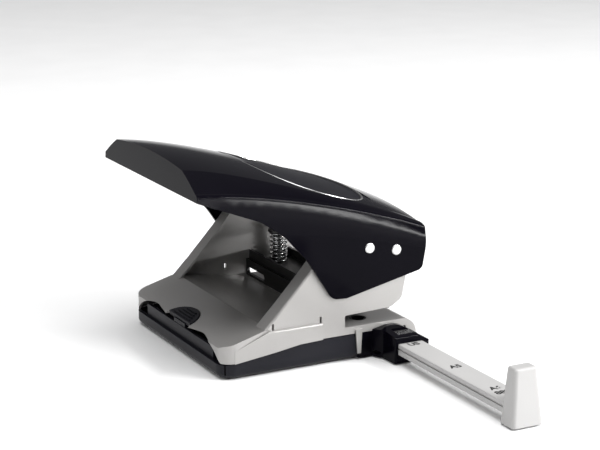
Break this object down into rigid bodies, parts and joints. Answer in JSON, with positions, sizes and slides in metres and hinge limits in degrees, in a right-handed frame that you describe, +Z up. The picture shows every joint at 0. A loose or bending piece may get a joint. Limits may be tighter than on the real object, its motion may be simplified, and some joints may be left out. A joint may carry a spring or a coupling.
{
  "type": "hole punch",
  "caption": "Desk hole punch with a black lever handle, silver-grey pressed steel base, sprung punch pins, hinged chip tray and a sliding paper guide with a format scale.",
  "frame": {"origin": "on the table, midway between the two punch pins, at the underside of the strip foot below the dies", "axes": "+Z up; X runs along the row of punches, with the sliding paper guide towards -X; paper goes in from -Y and the handle is pressed at +Y"},
  "size_m": [0.2123, 0.1144, 0.0969],
  "materials": {
    "silver_paint": "satin pressed steel, silver-grey paint",
    "gloss_black": "high gloss",
    "satin_black": "satin moulded",
    "grey_inlay": "fine grain",
    "bright_steel": "bright",
    "tool_steel": "ground",
    "dark_steel": "blackened",
    "spring_steel": "drawn wire",
    "light_grey_plastic": "satin moulded",
    "clear_plastic": "clear",
    "black_rubber": "matt"
  },
  "bodies": {
    "frame": {"base_shell": "silver_paint", "left_side_plate": "silver_paint", "right_side_plate": "silver_paint", "guide_plate": "dark_steel", "throat_wall": "dark_steel", "die_bushes": "dark_steel", "left_spring": "spring_steel", "right_spring": "spring_steel", "pivot_axle": "bright_steel", "pivot_clips": "dark_steel", "front_base": "gloss_black", "window_lens": "clear_plastic", "guide_detent_spring": "spring_steel", "front_feet": "black_rubber", "tray_hinge_pins": "bright_steel"},
    "handle": {"handle_shell": "gloss_black", "handle_inlay": "grey_inlay", "handle_lever": "dark_steel", "handle_screws": "bright_steel", "punch_axle": "bright_steel", "punch_axle_clips": "dark_steel"},
    "punches": {"left_punch": "tool_steel", "right_punch": "tool_steel", "spring_collars": "dark_steel"},
    "paper_guide": {"ruler": "light_grey_plastic", "paper_stop": "light_grey_plastic"},
    "chip_tray": {"chip_tray": "satin_black", "tray_feet": "black_rubber", "tray_grip": "satin_black"}
  },
  "joints": [
    {"name": "handle_press", "type": "hinge", "parent": "frame", "child": "handle", "pos_m": [0, -0.0125, 0.0505], "axis": [-1, 0, 0], "range_deg": [0, 28], "stiffness_Nm_per_rad": 1.6, "springref_deg": -20.05},
    {"name": "punch_stroke", "type": "slide", "parent": "frame", "child": "punches", "axis": [0, 0, -1], "range_m": [0, 0.00689], "deforming": ["left_spring", "right_spring"]},
    {"name": "paper_guide_slide", "type": "slide", "parent": "frame", "child": "paper_guide", "axis": [1, 0, 0], "range_m": [0, 0.08]},
    {"name": "tray_open", "type": "hinge", "parent": "frame", "child": "chip_tray", "pos_m": [0, -0.0029, 0.0028], "axis": [-1, 0, 0], "range_deg": [0, 60]}
  ],
  "couplings": [
    {"joint": "punch_stroke", "follows": "handle_press", "m_per_rad": 0.014048}
  ]
}
